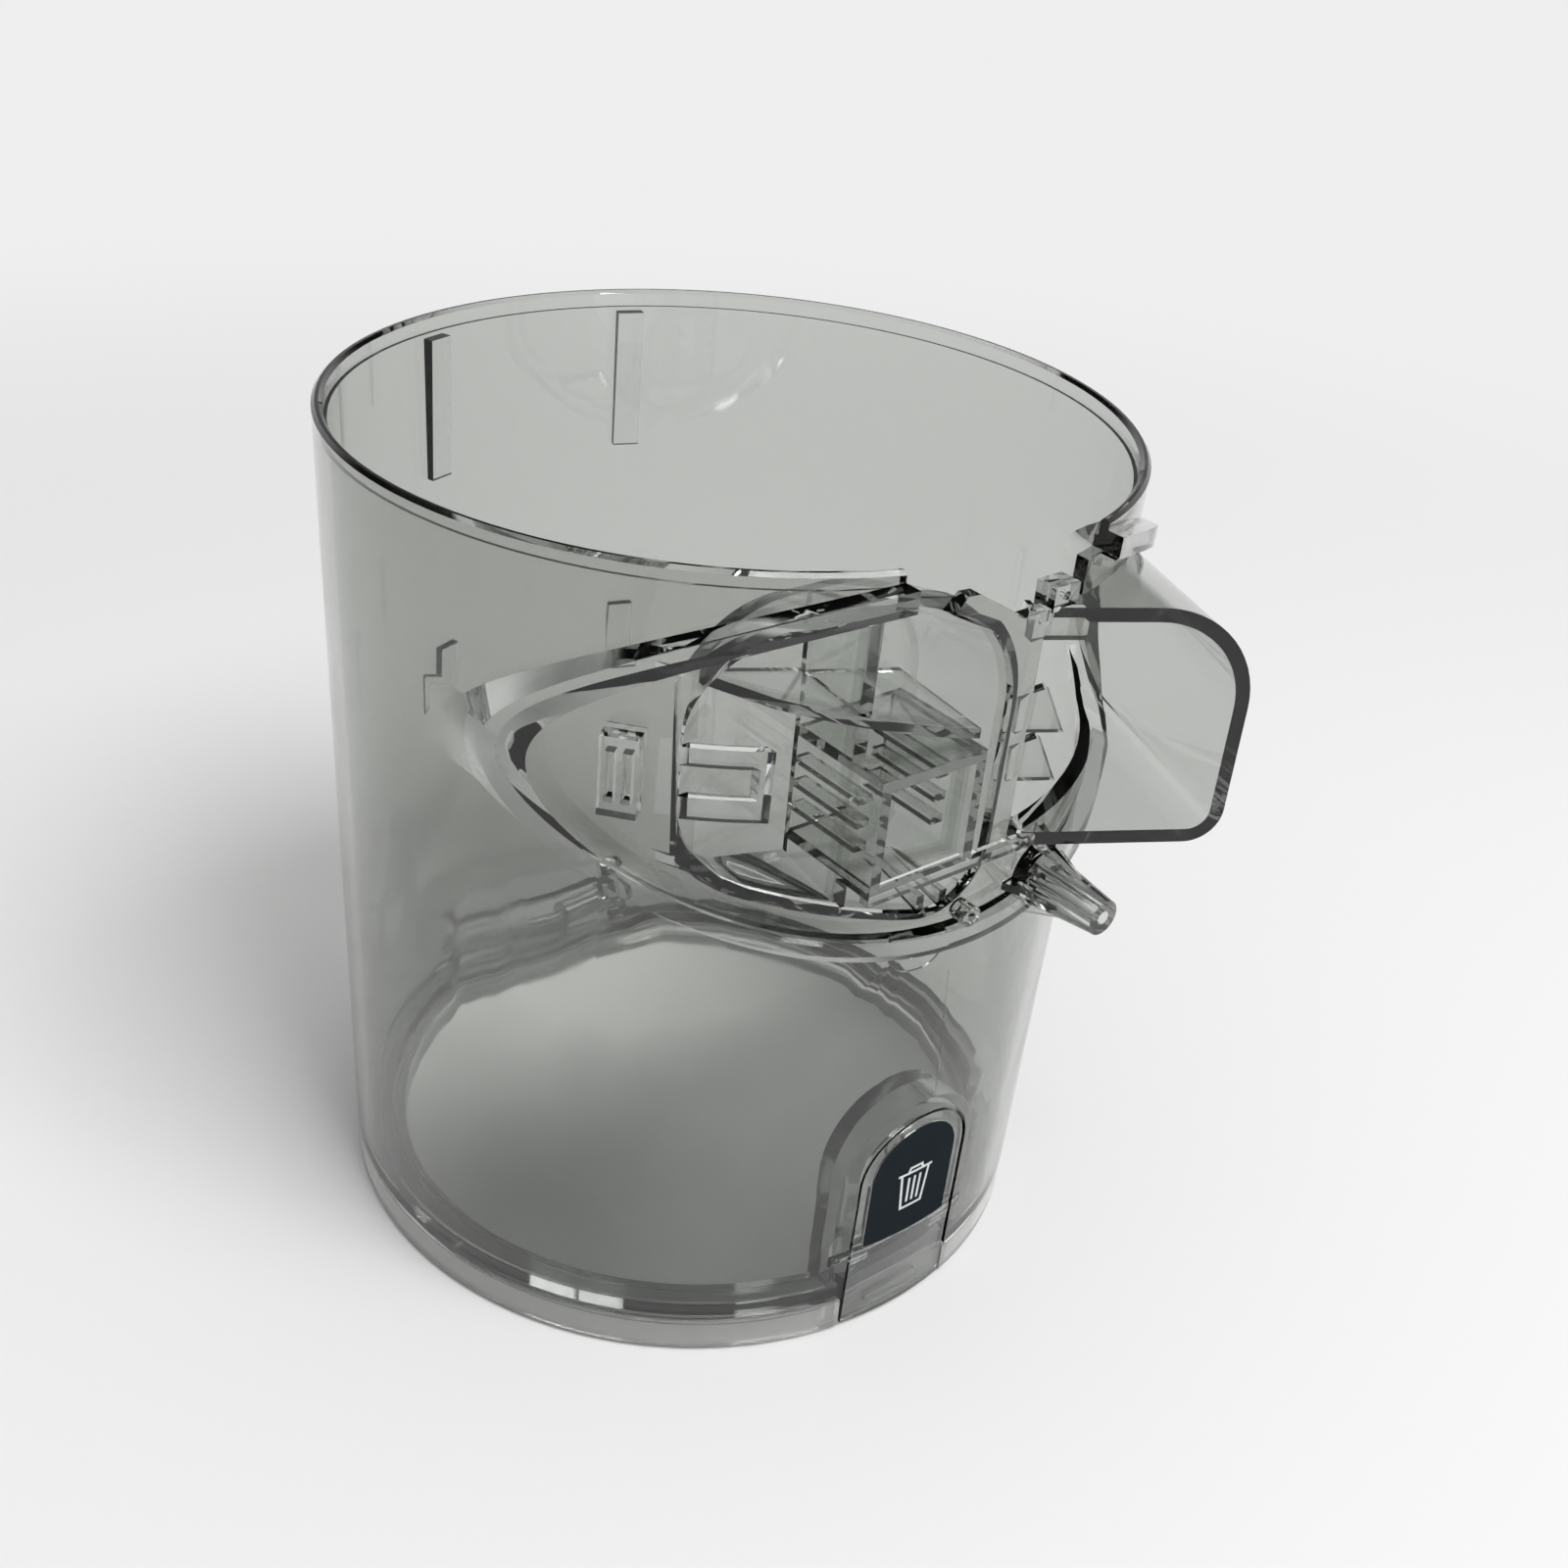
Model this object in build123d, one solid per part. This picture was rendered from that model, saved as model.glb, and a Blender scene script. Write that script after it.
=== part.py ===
from build123d import *
from math import cos, radians, sin, sqrt, tan
import os

# Clear dust bin of a cordless vacuum cleaner, in millimetres.
# The origin is on the cup's axis in the plane of the base, +Z is up, the front with the latch is -Y.
# Front depths are given as w, the distance from the axis towards the front, so w = -y.

# Cup wall
rim_r = 58.0             # outer radius at the rim
taper = 3.0              # radius lost from the rim to the base plane
height = 126.7           # rim above the base plane
wall = 2.0
land_wall = 1.5          # wall left outside the counterbore that centres the cyclone unit
land_h = 2.5
rim_edge = 0.5
bite = 0.5               # how far added features sink into the wall they grow from
base_r = rim_r - taper

# Clearances
part_gap = 0.4           # between the closed lid and the cup
fit_gap = 0.05           # between pieces that are fixed to each other
run_gap = 0.05           # radial, on the two hinge pins
pin_gap = 0.01           # radial, where a pin is held
swing_gap = 0.3          # between moving pieces and what they pass

# Foot flange and lid
lid_h = 6.0              # height of the lid's outer skirt
lid_wall = 2.0
skirt_edge = 0.6
foot_h = 2.2
seal_inset = 3.4         # outer edge of the seal inside the base radius
seal_w = 2.0
seal_cover = 0.2         # foot flange laps over the seal's inner edge
seal_depth = 1.0
seal_proud = 0.1
seal_back = 0.6          # straight rear side of the seal ahead of the hinge pocket
pan_lip = 2.3            # between the seal's groove and the sunk floor
pan_lip_rear = 1.0
foot_z = lid_h + part_gap

# Lid hinge at the rear
hinge_inset = 4.7        # pin's axis inside the base radius
hinge_rise = 4.5         # pin's axis above the lid's skirt
hinge_pin_r = 1.25
hinge_half = 16.5        # half width of the pocket between the cheeks
cheek = 2.5
pocket_wall = 1.8
pocket_roof = 1.8
knuckle_wall = 1.5
knuckle_gap = 0.5        # side play of the knuckles
knuckle_inner = 6.0
neck_half = 2.3
relief_side = 3.0        # clearance over the lid beside the cheeks
relief_back = 2.1
relief_h = 1.8
hinge_y = base_r - hinge_inset
hinge_z = lid_h + hinge_rise
knuckle_r = hinge_pin_r + knuckle_wall
pocket_y = hinge_y - knuckle_r - swing_gap
heel_reach = sqrt(hinge_inset ** 2 + hinge_rise ** 2)
pocket_top = hinge_z + max(heel_reach, knuckle_r) + swing_gap
seal_out_r = base_r - seal_inset
seal_chord = pocket_y - seal_back
pan_r = seal_out_r - seal_w - pan_lip
pan_chord = seal_chord - seal_w - pan_lip_rear

# Oval collar round the docking side, its top level with the rim
collar_side = 2.8        # its ends inside the rim radius, in the front view
collar_b = 28.0          # half height in the front view
collar_band = 3.0
collar_proud = 2.5
collar_a = rim_r - collar_side
collar_z = height - collar_b

# Notch in the rim above the collar, stepped on the right
notch_left = -17.4
notch_right = 17.0
notch_drop = 9.1
notch_depth = 5.0
notch_step = 4.0         # lower part stops this far short of the right end
notch_step_h = 4.9
notch_z = height - notch_drop
notch_w = rim_r - notch_depth

# Key block on the floor of the notch
key_x = (6.3, 10.6)
key_h = 3.0
key_depth = 3.4
key_hole_r = 0.6

# Docking recess inside the collar, with drafted sides and a floor that falls to the right
recess_depth = 16.0      # flat back behind the rim radius
recess_inset = 0.5       # left end inside the line where the back meets the rim radius
recess_right = 2.0       # right end, top and floor are given at the mouth
recess_drop = 5.2
recess_h = 39.0          # at the left end
recess_fall = 8.0
recess_draft = 12.0
recess_toe = 1.0         # back's left end inside recess_left
recess_edge = 0.3        # mouth's edge inside the collar
recess_wall = 1.8
recess_rounds = (11.0, 5.0, 14.0, 14.0)
recess_w = rim_r - recess_depth
recess_left = recess_inset - sqrt(rim_r ** 2 - recess_w ** 2)
recess_top = height - recess_drop
recess_low = recess_top - recess_h
recess_in = recess_depth * tan(radians(recess_draft))    # back's outline inside the mouth's
floor_fall = recess_fall / (recess_right - recess_in - recess_left - recess_toe)

# Gable on the floor of the notch, beside the recess: outline from its left foot, above the notch
gable_outline = ((-11.0, 1.6), (-8.6, 4.8), (-6.8, 4.8), (1.1, 0.3), (1.1, -1.2), (-11.0, -1.2))

# Gussets on the recess floor, at its right end
gusset_count = 3
gusset_pitch = 3.6
gusset_right = -0.6
gusset_t = 1.2
gusset_h = 4.2

# Plug housing in the recess
housing_left = -20.5
housing_right = -3.0
housing_rise = 1.5       # above the recess floor
housing_h = 17.0
housing_proud = 1.0      # front ahead of the rim radius
housing_wall = 1.6
key_rib_count = 3
key_rib_t = 1.1
key_rib_out = 2.0
key_rib_back = 4.5       # ribs stop this far behind the housing's front
sill_drop = 1.0          # sill below the housing's floor
sill_right = 9.0
housing_low = recess_low + housing_rise
housing_top = housing_low + housing_h
housing_front = rim_r + housing_proud

# Webs and shelves that brace the housing
web_t = 1.6
shelf_t = 1.4
shelf_reach = 4.5        # tip beyond the recess's left end
shelf_rises = (3.5, 30.5)    # above recess_low, where the back meets the left end
shelf_rights = (housing_left, housing_right - 1.0)
shelf_falls = ((floor_fall, recess_in / recess_depth), (0.24, 0.10))   # to the right, to the front

# Clip post and snap arm at the left end of the recess
post_reach = 3.9
post_drop = 5.2          # foot of the post below the collar's centre
post_h = 11.0
post_width = 5.0
post_proud = 2.6
post_slot = 1.2
post_bar = 1.0
arm_reach = 10.0         # tip of the arm from the recess's left end
arm_t = 1.4
arm_bar = 1.4
arm_bands = ((-5.7, -2.5), (1.9, 4.5))   # heights from the collar's centre
post_low = collar_z - post_drop
post_top = post_low + post_h

# Inlet duct on the right, tangential to the cup, its top level with the notch
duct_angle = 21.8        # direction of the duct, from the rear towards the right
mouth_angle = 28.5       # direction of the mouth's plane
duct_inset = 1.3         # outer face inside the rim radius
duct_width = 32.0
duct_h = 35.0
mouth_ahead = 1.5        # mouth's outer corner ahead of where the inner side meets the rim radius
duct_wall = 2.0
duct_rounds = (5.0, 5.0, 14.5, 3.0)
duct_right = rim_r - duct_inset
duct_left = duct_right - duct_width
duct_reach = sqrt(rim_r ** 2 - duct_left ** 2) + mouth_ahead
duct_top = notch_z
duct_low = duct_top - duct_h

# Lintel and barbs at the inner side of the mouth
lintel_w = 8.0
lintel_h = 4.5
lintel_t = 2.2
lintel_slot = 1.6
barb_rises = (10.0, 17.2)    # feet above the duct's underside
barb_reach = 7.2
barb_top = 4.2
barb_h = (4.9, 6.5)
barb_t = 1.6

# Screw boss under the duct
boss_x = 13.5
boss_drop = 7.1          # axis below the duct's underside
boss_root_r = 4.4
boss_tip_r = 2.6
boss_proud = 11.3        # tip ahead of the rim radius
boss_hole_r = 1.0
boss_hole_depth = 12.0
boss_rib_t = 1.2
boss_rib_out = 2.6
boss_rib_stop = 4.0      # ribs end this far behind the tip
boss_z = duct_low - boss_drop
boss_tip_w = rim_r + boss_proud

# Stud and drip tab under the collar
stud_x = -1.5
stud_rise = 4.6          # above the collar's lowest point
stud_r = 1.5
stud_bore = 0.7
stud_proud = 2.8
tab_x = (-12.4, -3.3)
tab_drop = 3.4           # below the collar's lowest point
tab_proud = 0.6
tab_round = 4.0

# Guide ribs on the rear inner wall: low and high ends below the rim
guide_angles = (-19.0, 19.0)
guide_drops = ((66.7, 54.7), (25.7, 3.1))
guide_width = 4.3
guide_proud = 1.2

# Latch niche at the front of the base
niche_half = 10.5
niche_spring_z = 28.0    # height at which the arch starts
niche_wall = 1.8
niche_gap = 1.0          # behind the lever's pivot bosses
slot_depth = 2.7         # slot through which the lever reaches the lid
slot_w = base_r - slot_depth

# Latch lever with its inlay, pin and spring
lever_gap = 0.6
lever_low = 0.6
lever_inset = 0.15       # lever's face behind the cup's outer surface
lever_t = 1.4
panel_border = 1.9
panel_low = 15.5
panel_t = 0.6
pivot_inset = 2.8
pivot_z = 14.0
latch_pin_r = 1.0
pivot_boss_wall = 1.2
pivot_boss_length = 3.6
lever_rib_inset = 2.0    # ribs inside the panel's edge
lever_rib_t = 1.2
lever_rib_depth = 1.6
lever_rib_top = 25.5
hook_half = 5.0
hook_h = 1.4
hook_gap = 0.3           # hook drawn clear of the lid's tooth
tooth_h = 1.6
tooth_proud = 0.7
spring_z = 29.0
spring_r = 2.2
spring_wire = 0.5
spring_turns = 3
spigot_r = 1.2
spigot_h = 1.0
lever_half = niche_half - lever_gap
panel_half = lever_half - panel_border
pivot_w = base_r - pivot_inset
pivot_boss_r = latch_pin_r + pivot_boss_wall
niche_w = pivot_w - pivot_boss_r - niche_gap

far = 90.0               # beyond every feature


def cup_r(z, inset=0.0):
    return base_r + (rim_r - base_r) * z / height - inset


def revolved(points):
    return revolve(make_face(Plane.XZ * Polyline(*points, close=True)), axis=Axis.Z)


def taper_ring(inset_out, inset_in, low, high):
    return revolved([
        (cup_r(low, inset_out), low), (cup_r(high, inset_out), high),
        (cup_r(high, inset_in), high), (cup_r(low, inset_in), low)])


def taper_core(inset, low, high):
    return revolved([(0, low), (cup_r(low, inset), low), (cup_r(high, inset), high), (0, high)])


def block(x, y, z):
    size = [high - low for low, high in (x, y, z)]
    centre = [(high + low) / 2 for low, high in (x, y, z)]
    return Pos(*centre) * Box(*size)


def front_prism(sketch, w_low, w_high):
    return extrude(Plane.XZ.offset(w_low) * sketch, amount=w_high - w_low)


def plan_prism(sketch, low, high):
    return extrude(Plane.XY.offset(low) * sketch, amount=high - low)


def cross_rod(y, z, radius, half):
    return Pos(0, y, z) * Rot(0, 90, 0) * Cylinder(radius, 2 * half)


def rounded_outline(left, right, low, top, radii, fall=0.0):
    corners = [(left, low), (right, low - fall), (right, top), (left, top)]
    face = make_face(Polyline(*corners, close=True))
    for corner, radius in zip(corners, radii):
        vertex = face.vertices().sort_by_distance((*corner, 0))[0]
        face = fillet(vertex, radius)
    return face


def arch_outline(half, low, spring):
    return Pos(0, (low + spring) / 2) * Rectangle(2 * half, spring - low) + Pos(0, spring) * Circle(half)


def chord_disc(radius, chord):
    return Circle(radius) & Pos(0, chord - far) * Rectangle(2 * far, 2 * far)


def chord_ring(out_r, out_chord, in_r, in_chord):
    return chord_disc(out_r, out_chord) - chord_disc(in_r, in_chord)


def make_duct():
    t_dir = Vector(cos(radians(duct_angle)), -sin(radians(duct_angle)), 0)
    out_dir = Vector(-sin(radians(duct_angle)), -cos(radians(duct_angle)), 0)
    mouth_dir = Vector(-sin(radians(mouth_angle)), -cos(radians(mouth_angle)), 0)
    section = Plane(origin=(0, 0, 0), x_dir=t_dir, z_dir=out_dir)
    outer = rounded_outline(duct_left, duct_right, duct_low, duct_top, duct_rounds)
    inner = rounded_outline(
        duct_left + duct_wall, duct_right - duct_wall, duct_low + duct_wall, duct_top - duct_wall,
        [max(radius - duct_wall, duct_wall / 2) for radius in duct_rounds])
    corner = t_dir * duct_right + out_dir * duct_reach
    mouth = Plane(origin=corner, x_dir=(0, 0, 1), z_dir=mouth_dir)
    beyond = mouth * Pos(0, 0, far) * Box(4 * far, 4 * far, 2 * far)
    outside = extrude(section * outer, amount=far) - beyond
    passage = extrude(section * inner, amount=far)

    # Lintel with a slot, and two barbs, just behind the plane of the mouth
    lintel = Pos(duct_left + lintel_w / 2, duct_top - lintel_h / 2) * Rectangle(lintel_w, lintel_h)
    lintel -= Pos(duct_left + lintel_slot, duct_top) * Rectangle(lintel_slot, lintel_h)
    slab = mouth * Pos(0, 0, -lintel_t / 2) * Box(4 * far, 4 * far, lintel_t)
    trim = [extrude(section * lintel, amount=far) & slab]
    slab = mouth * Pos(0, 0, -barb_t / 2) * Box(4 * far, 4 * far, barb_t)
    for rise in barb_rises:
        foot = duct_low + rise
        barb = make_face(Polyline(
            (duct_left, foot), (duct_left + barb_reach, foot), (duct_left + barb_top, foot + barb_h[1]),
            (duct_left, foot + barb_h[0]), close=True))
        trim.append(extrude(section * barb, amount=far) & slab)
    return outside, passage, trim


def make_recess():
    # Both the space and its skin widen from the back to the mouth
    spaces = []
    for skin in (0, recess_wall):
        outline = rounded_outline(
            recess_left + recess_toe - skin, recess_right - recess_in + skin,
            recess_low + recess_in - skin, recess_top - recess_in + skin,
            [radius + skin for radius in recess_rounds], recess_fall)
        depth = recess_depth + skin + collar_proud + wall
        back = Plane.XZ.offset(recess_w - skin) * outline
        spaces.append(extrude(back, amount=depth, taper=-recess_draft))
    void, shell = spaces
    inner = recess_edge + collar_band
    mouth = Pos(0, collar_z) * Ellipse(collar_a - inner, collar_b - inner)
    return shell & taper_core(bite, foot_z, height - land_h), void & front_prism(mouth, 0, far)


def make_housing():
    box = block((housing_left, housing_right), (-housing_front, -recess_w + bite), (housing_low, housing_top))
    void = block(
        (housing_left + housing_wall, housing_right - housing_wall), (-far, -recess_w),
        (housing_low + housing_wall, housing_top - housing_wall))
    housing = box - void
    pitch = (housing_h - 2 * housing_wall) / (key_rib_count + 1)
    for number in range(key_rib_count):
        z = housing_low + housing_wall + pitch * (number + 1)
        for wall_x, side in ((housing_left + housing_wall, 1), (housing_right - housing_wall, -1)):
            ends = sorted((wall_x - side * bite, wall_x + side * key_rib_out))
            housing += block(
                ends, (-housing_front + key_rib_back, -recess_w + bite),
                (z - key_rib_t / 2, z + key_rib_t / 2))
    # Sill from the housing's front to the foot of the duct's mouth
    sill_z = housing_low - sill_drop
    housing += block(
        (housing_left, sill_right), (-housing_front, -housing_front + web_t), (sill_z, housing_low + bite))
    return housing


def make_braces(recess_skin):
    # Sloping shelves: front edge from the wall to the housing's front corner
    braces = []
    tip_x = recess_left - shelf_reach
    heel_x = recess_left + recess_toe + recess_wall
    for rise, right, fall in zip(shelf_rises, shelf_rights, shelf_falls):
        z = recess_low + rise
        tip_w = sqrt(cup_r(z, bite) ** 2 - tip_x ** 2)
        plan = make_face(Polyline(
            (tip_x, -tip_w), (housing_left, -housing_front), (right + bite, -housing_front),
            (right + bite, -recess_w + bite), (heel_x, -recess_w + recess_wall), close=True))
        slope = Plane(origin=(recess_left, -recess_w, z), z_dir=(fall[0], -fall[1], 1))
        slab = slope * Box(4 * far, 4 * far, shelf_t)
        braces.append(plan_prism(plan, foot_z, height) & slab & taper_core(-bite, foot_z, height))
    # Web over the housing's left wall, up to the notch
    braces.append(block(
        (housing_left, housing_left + web_t), (-cup_r(notch_z, wall), -recess_w + bite),
        (housing_top - bite, recess_top)) & recess_skin)
    # Web from the housing down to the recess floor
    floor_z = recess_low - recess_fall
    braces.append(block(
        (housing_left, housing_left + web_t), (-rim_r, -recess_w + bite),
        (floor_z, housing_low + bite)) & recess_skin)
    # Gussets on the recess floor
    for number in range(gusset_count):
        x = gusset_right - gusset_pitch * number
        braces.append(block(
            (x - gusset_t / 2, x + gusset_t / 2), (-rim_r, -recess_w + bite),
            (floor_z - bite, floor_z + gusset_h)) & recess_skin)
    return braces


def make_clip():
    post = block((-post_width / 2, post_width / 2), (-post_proud, wall), (post_low, post_top))
    for side in (-1, 1):
        centre = side * (post_bar + post_slot) / 2
        post -= block(
            (centre - post_slot / 2, centre + post_slot / 2), (-far, 0), (post_low + wall, post_top - wall))
    post_x = recess_left - post_reach
    post_w = sqrt(cup_r(post_low) ** 2 - post_x ** 2)
    turn = 90 - Vector(-post_x, post_w, 0).get_angle(Vector(1, 0, 0))
    # Snap arm: two bands in line with the wall, joined at the tip
    tip_x = recess_left + arm_reach
    skin = taper_ring(0, arm_t, foot_z, height)
    low, top = collar_z + arm_bands[0][0], collar_z + arm_bands[-1][1]
    arm = skin & block((tip_x - arm_bar, tip_x), (-far, 0), (low, top))
    for band in arm_bands:
        arm += skin & block((post_x, tip_x), (-far, 0), [collar_z + z for z in band])
    return [Pos(post_x, -post_w, 0) * Rot(0, 0, -turn) * post, arm]


def make_boss():
    root_w = cup_r(boss_z, wall)
    length = boss_tip_w - root_w
    boss = Pos(boss_x, -(root_w + length / 2), boss_z) * Rot(90, 0, 0) * Cone(boss_root_r, boss_tip_r, length)
    rib_end = length - boss_rib_stop
    rib = make_face(Polyline(
        (boss_root_r + boss_rib_out, 0), (boss_tip_r, rib_end), (-boss_tip_r, rib_end),
        (-boss_root_r - boss_rib_out, 0), close=True))
    root = Pos(boss_x, -root_w, boss_z)
    for turn in (0, 90):
        boss += root * Rot(0, turn, 0) * Rot(180, 0, 0) * extrude(rib, amount=boss_rib_t / 2, both=True)
    hole_w = boss_tip_w - boss_hole_depth / 2
    hole = Pos(boss_x, -hole_w, boss_z) * Rot(90, 0, 0) * Cylinder(boss_hole_r, boss_hole_depth)
    return boss - taper_core(wall / 2, 0, height), hole


def make_key():
    outer = cup_r(notch_z)
    key = block(key_x, (-outer, -outer + key_depth), (notch_z - bite, notch_z + key_h))
    hole = Rot(90, 0, 0) * Cylinder(key_hole_r, key_depth)
    return [key - Pos(sum(key_x) / 2, -outer, notch_z + key_h / 2) * hole]


def make_gable(recess_void):
    outline = make_face(Polyline(*[(x, notch_z + rise) for x, rise in gable_outline], close=True))
    gable = front_prism(outline, 0, far) & taper_ring(0, wall, foot_z, height)
    return gable - recess_void


def make_under_collar():
    # Tubular stud, and a thin tab with a rounded foot
    low = collar_z - collar_b
    z = low + stud_rise
    stud = Pos(stud_x, 0, z) * Rot(90, 0, 0) * (Cylinder(stud_r, 2 * far) - Cylinder(stud_bore, 2 * far))
    stud &= taper_ring(-stud_proud, bite, foot_z, height) & block((-far, far), (-far, 0), (0, height))
    top = low + collar_band / 2
    outline = rounded_outline(*tab_x, low - tab_drop, top, (tab_round, tab_round, bite / 2, bite / 2))
    tab = front_prism(outline, 0, far) & taper_ring(-tab_proud, bite, foot_z, height)
    return [stud, tab]


def make_guides():
    guides = []
    for angle in guide_angles:
        for drops in guide_drops:
            low, high = [height - drop for drop in drops]
            inner_r = cup_r(low, wall) - guide_proud
            rib = block((-guide_width / 2, guide_width / 2), (inner_r, cup_r(low)), (low, high))
            guides.append(Rot(0, 0, angle) * rib & taper_core(wall / 2, 0, height))
    return guides


def make_cup():
    bore_low = height - land_h
    shell = revolved([
        (cup_r(foot_z), foot_z), (rim_r, height), (rim_r - land_wall, height), (rim_r - land_wall, bore_low),
        (cup_r(bore_low, wall), bore_low), (cup_r(foot_z, wall), foot_z)])
    rim_edges = shell.edges().group_by(Axis.Z)[-1].filter_by(GeomType.CIRCLE)
    shell = chamfer(rim_edges, rim_edge)

    foot_in_r = seal_out_r - seal_w - seal_cover
    foot_chord = seal_chord - seal_w - seal_cover
    foot_plan = Circle(cup_r(foot_z, bite)) - chord_disc(foot_in_r, foot_chord)
    shell += plan_prism(foot_plan, foot_z, foot_z + foot_h)

    # Inlet duct: walls outside the cup, and a window through the wall inside the collar's oval
    outside, passage, trim = make_duct()
    oval_out = Pos(0, collar_z) * Ellipse(collar_a, collar_b)
    oval_in = Pos(0, collar_z) * Ellipse(collar_a - collar_band, collar_b - collar_band)
    collar = front_prism(oval_out - oval_in, 0, far) & taper_ring(-collar_proud, bite, foot_z, height)
    window = passage & front_prism(oval_in, 0, far)
    cup = shell - window
    cup += collar - passage
    cup += outside - passage - taper_core(wall / 2, 0, height + wall)
    for piece in trim:
        cup += piece

    # Docking recess, cut after its skin is in place
    recess_skin, recess_void = make_recess()
    cup += recess_skin

    # Latch niche and hinge pocket grow inwards from the wall
    inward = taper_core(bite, 0, height)
    niche_skin = arch_outline(niche_half + niche_wall, foot_z, niche_spring_z)
    cup += front_prism(niche_skin, niche_w - niche_wall, far) & inward
    pocket_half = hinge_half + cheek
    pocket_skin = block(
        (-pocket_half, pocket_half), (pocket_y - pocket_wall, far), (foot_z, pocket_top + pocket_roof))
    cup += pocket_skin & inward

    cup -= recess_void
    cup -= block((notch_left, notch_right), (-far, -notch_w), (notch_z + notch_step_h, height + far))
    cup -= block((notch_left, notch_right - notch_step), (-far, -notch_w), (notch_z, height + far))
    cup -= front_prism(arch_outline(niche_half, foot_z + foot_h, niche_spring_z), niche_w, far)
    cup -= block((-niche_half, niche_half), (-far, -slot_w), (-far, foot_z + foot_h + bite))
    cup -= block((-hinge_half, hinge_half), (pocket_y, far), (-far, pocket_top))
    relief_half = pocket_half + relief_side
    cup -= block((-relief_half, relief_half), (hinge_y - relief_back, far), (-far, foot_z + relief_h))
    cup -= cross_rod(-pivot_w, pivot_z, latch_pin_r + pin_gap, niche_half + niche_wall + bite)
    cup -= cross_rod(hinge_y, hinge_z, hinge_pin_r + pin_gap, hinge_half + cheek + bite)

    boss, boss_hole = make_boss()
    added = [make_housing(), boss, make_gable(recess_void)] + make_braces(recess_skin)
    for maker in (make_clip, make_guides, make_key, make_under_collar):
        added += maker()
    for piece in added:
        cup += piece
    return cup - boss_hole


def make_lid():
    rise = lid_h - lid_wall
    skirt_in = base_r - lid_wall
    lid = plan_prism(Circle(base_r), 0, lid_h)
    lid = chamfer(lid.edges().filter_by(GeomType.CIRCLE), skirt_edge)
    lid -= plan_prism(chord_disc(pan_r, pan_chord), lid_wall, far)
    groove = Circle(skirt_in) - chord_disc(pan_r + lid_wall, pan_chord + lid_wall)
    lid -= plan_prism(groove, -far, rise)
    seat = chord_ring(seal_out_r, seal_chord, seal_out_r - seal_w, seal_chord - seal_w)
    lid -= plan_prism(seat, lid_h - seal_depth, far)
    # Front: flat behind the lever, with the tooth that the hook holds
    lid -= block((-niche_half, niche_half), (-far, -slot_w), (-far, far))
    web_half = niche_half + lid_wall
    lid += block((-web_half, web_half), (-slot_w, -slot_w + lid_wall - bite), (0, rise + bite))
    tooth_low = lever_low + hook_h + hook_gap
    lid += block(
        (-hook_half, hook_half), (-slot_w - tooth_proud, -slot_w + bite), (tooth_low, tooth_low + tooth_h))
    # Rear: two knuckles on short necks
    outer = hinge_half - knuckle_gap
    for left, right in ((-outer, -knuckle_inner), (knuckle_inner, outer)):
        lid += block((left, right), (hinge_y - neck_half, hinge_y + neck_half), (lid_h - bite, hinge_z))
        lid += Pos((left + right) / 2, hinge_y, hinge_z) * Rot(0, 90, 0) * Cylinder(knuckle_r, right - left)
    return lid - cross_rod(hinge_y, hinge_z, hinge_pin_r + run_gap, hinge_half)


def make_seal():
    ring = chord_ring(
        seal_out_r - fit_gap, seal_chord - fit_gap,
        seal_out_r - seal_w + fit_gap, seal_chord - seal_w + fit_gap)
    return plan_prism(ring, lid_h - seal_depth, lid_h + seal_proud)


def make_lever():
    outline = arch_outline(lever_half, lever_low, niche_spring_z)
    back = lever_inset + lever_t
    lever = front_prism(outline, 0, far) & taper_ring(lever_inset, back, 0, height)
    inlay = arch_outline(panel_half, panel_low, niche_spring_z)
    lever -= front_prism(inlay, 0, far) & taper_ring(-1, lever_inset + panel_t, 0, height)
    # Stiffening ribs on the back, from the pivot upwards
    ribs = taper_ring(back - bite, back + lever_rib_depth, pivot_z, lever_rib_top)
    rib_x = panel_half - lever_rib_inset
    for x in (-rib_x, rib_x):
        lever += ribs & block((x - lever_rib_t / 2, x + lever_rib_t / 2), (-far, 0), (0, far))
    # Pivot bosses at both edges
    for side in (-1, 1):
        centre = side * (lever_half - pivot_boss_length / 2)
        lever += Pos(centre, -pivot_w, pivot_z) * Rot(0, 90, 0) * Cylinder(pivot_boss_r, pivot_boss_length)
    lever -= cross_rod(-pivot_w, pivot_z, latch_pin_r + run_gap, niche_half)
    # Hook at the foot, spring spigot at the top
    hook_tip = slot_w + tooth_proud + hook_gap
    hook_root = base_r - lever_inset - bite
    lever += block((-hook_half, hook_half), (-hook_root, -hook_tip), (lever_low, lever_low + hook_h))
    spigot_y = (spigot_h - bite) / 2 - cup_r(spring_z, back)
    lever += Pos(0, spigot_y, spring_z) * Rot(90, 0, 0) * Cylinder(spigot_r, spigot_h + bite)
    return lever


def make_panel():
    inlay = arch_outline(panel_half - fit_gap, panel_low + fit_gap, niche_spring_z)
    return front_prism(inlay, 0, far) & taper_ring(lever_inset, lever_inset + panel_t - fit_gap, 0, height)


def make_spring():
    seat_w = cup_r(spring_z - spring_r, lever_inset + lever_t) - 2 * fit_gap
    length = seat_w - niche_w - 2 * fit_gap - spring_wire
    coil_r = spring_r - spring_wire / 2
    path = Helix(pitch=length / spring_turns, height=length, radius=coil_r)
    start = Plane(origin=path @ 0, z_dir=path % 0)
    coil = sweep(start * Circle(spring_wire / 2), path=path, is_frenet=True)
    return Pos(0, -niche_w - fit_gap - spring_wire / 2, spring_z) * Rot(90, 0, 0) * coil


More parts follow.
